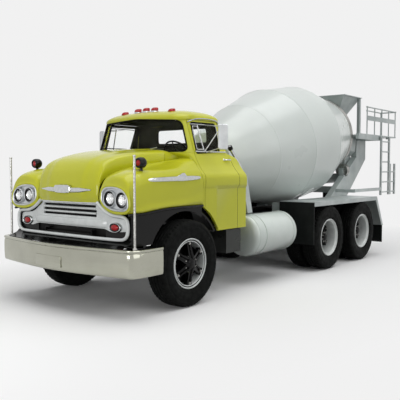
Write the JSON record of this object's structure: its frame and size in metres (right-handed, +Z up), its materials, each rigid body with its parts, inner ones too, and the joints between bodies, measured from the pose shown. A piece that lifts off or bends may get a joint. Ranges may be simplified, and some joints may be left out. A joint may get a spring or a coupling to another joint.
{
  "type": "concrete mixer truck",
  "caption": "Conventional-cab truck with a long hood carrying a tilted concrete drum, charge hopper, collector and swinging discharge chute.",
  "frame": {"origin": "middle of the bounding box at ground level, on the symmetry plane of the chassis", "axes": "-Y is the front of the truck, +X its left side, +Z up"},
  "size_m": [2.44, 8.328, 3.136],
  "materials": {
    "cab_paint": "gloss",
    "black_gloss": "gloss",
    "pale_paint": "satin",
    "drum_paint": "gloss",
    "chassis_paint": "satin",
    "roller_iron": "satin",
    "wheel_paint": "satin",
    "tyre_rubber": "matte",
    "bright_metal": "polished",
    "lamp_lens": "gloss",
    "window_glass": "gloss",
    "board_rubber": "matte",
    "trim_plastic": "matte",
    "seat_fabric": "matte"
  },
  "bodies": {
    "chassis": {"cab_glass": "window_glass", "cab_shell": "cab_paint", "charge_hopper": "pale_paint", "chute_bracket": "pale_paint", "collector": "pale_paint", "deck": "pale_paint", "engine": "chassis_paint", "fender_skirts": "black_gloss", "frame": "chassis_paint", "front_axle": "chassis_paint", "front_bumper": "bright_metal", "front_fenders": "cab_paint", "front_pedestal": "pale_paint", "grille": "pale_paint", "headlamps": "bright_metal", "ladder": "pale_paint", "lamps": "lamp_lens", "radiator": "chassis_paint", "rear_axles": "chassis_paint", "rear_pedestal": "pale_paint", "rear_platform": "pale_paint", "seat": "seat_fabric", "side_boxes": "black_gloss", "side_tanks": "pale_paint", "slanted_pipe": "bright_metal", "splash_guards": "board_rubber", "steering_wheel": "trim_plastic"},
    "hood": {"hood": "cab_paint"},
    "door_left": {"door_left": "cab_paint", "door_glass_left": "window_glass", "mirror_left": "bright_metal"},
    "door_right": {"door_right": "cab_paint", "door_glass_right": "window_glass", "mirror_right": "bright_metal"},
    "knuckle_left": {"knuckle_left": "chassis_paint"},
    "knuckle_right": {"knuckle_right": "chassis_paint"},
    "front_wheel_left": {"front_wheel_left": "wheel_paint", "front_tyre_left": "tyre_rubber"},
    "front_wheel_right": {"front_wheel_right": "wheel_paint", "front_tyre_right": "tyre_rubber"},
    "drum": {"drum": "drum_paint"},
    "drum_roller_left": {"drum_roller_left": "roller_iron"},
    "drum_roller_right": {"drum_roller_right": "roller_iron"},
    "chute": {"discharge_chute": "pale_paint"},
    "rear_wheel_1_left": {"rear_wheel_1_left": "wheel_paint", "rear_tyres_1_left": "tyre_rubber"},
    "rear_wheel_1_right": {"rear_wheel_1_right": "wheel_paint", "rear_tyres_1_right": "tyre_rubber"},
    "rear_wheel_2_left": {"rear_wheel_2_left": "wheel_paint", "rear_tyres_2_left": "tyre_rubber"},
    "rear_wheel_2_right": {"rear_wheel_2_right": "wheel_paint", "rear_tyres_2_right": "tyre_rubber"}
  },
  "joints": [
    {"name": "steer_left", "type": "hinge", "parent": "chassis", "child": "knuckle_left", "pos_m": [0.8, -2.979, 0.525], "axis": [0, 0, 1], "range_deg": [-28, 28]},
    {"name": "steer_right", "type": "hinge", "parent": "chassis", "child": "knuckle_right", "pos_m": [-0.8, -2.979, 0.525], "axis": [0, 0, 1], "range_deg": [-28, 28]},
    {"name": "front_wheel_spin_left", "type": "hinge", "parent": "knuckle_left", "child": "front_wheel_left", "pos_m": [1.014, -2.979, 0.525], "axis": [1, 0, 0], "continuous": true},
    {"name": "front_wheel_spin_right", "type": "hinge", "parent": "knuckle_right", "child": "front_wheel_right", "pos_m": [-1.014, -2.979, 0.525], "axis": [1, 0, 0], "continuous": true},
    {"name": "rear_wheel_spin_1_left", "type": "hinge", "parent": "chassis", "child": "rear_wheel_1_left", "pos_m": [0.934, 0.503, 0.525], "axis": [1, 0, 0], "continuous": true},
    {"name": "rear_wheel_spin_1_right", "type": "hinge", "parent": "chassis", "child": "rear_wheel_1_right", "pos_m": [-0.934, 0.503, 0.525], "axis": [1, 0, 0], "continuous": true},
    {"name": "rear_wheel_spin_2_left", "type": "hinge", "parent": "chassis", "child": "rear_wheel_2_left", "pos_m": [0.934, 1.793, 0.525], "axis": [1, 0, 0], "continuous": true},
    {"name": "rear_wheel_spin_2_right", "type": "hinge", "parent": "chassis", "child": "rear_wheel_2_right", "pos_m": [-0.934, 1.793, 0.525], "axis": [1, 0, 0], "continuous": true},
    {"name": "door_hinge_left", "type": "hinge", "parent": "chassis", "child": "door_left", "pos_m": [1.056, -2.581, 1.395], "axis": [0, 0, -1], "range_deg": [0, 65]},
    {"name": "door_hinge_right", "type": "hinge", "parent": "chassis", "child": "door_right", "pos_m": [-1.056, -2.581, 1.395], "axis": [0, 0, 1], "range_deg": [0, 65]},
    {"name": "hood_hinge", "type": "hinge", "parent": "chassis", "child": "hood", "pos_m": [0, -2.851, 1.903], "axis": [-1, 0, 0], "range_deg": [0, 50]},
    {"name": "drum_spin", "type": "hinge", "parent": "chassis", "child": "drum", "pos_m": [0, 1.021, 2.0996], "axis": [0, 0.9886, 0.1506], "continuous": true},
    {"name": "roller_spin_left", "type": "hinge", "parent": "chassis", "child": "drum_roller_left", "pos_m": [0.48611, 2.47596, 1.61896], "axis": [0, 0.9886, 0.1506], "continuous": true},
    {"name": "roller_spin_right", "type": "hinge", "parent": "chassis", "child": "drum_roller_right", "pos_m": [-0.48611, 2.47596, 1.61896], "axis": [0, 0.9886, 0.1506], "continuous": true},
    {"name": "chute_swing", "type": "hinge", "parent": "chassis", "child": "chute", "pos_m": [0, 3.291, 1.3], "axis": [0, 0, 1], "range_deg": [-130, 0]}
  ],
  "couplings": [
    {"joint": "steer_right", "follows": "steer_left", "ratio": 1}
  ]
}
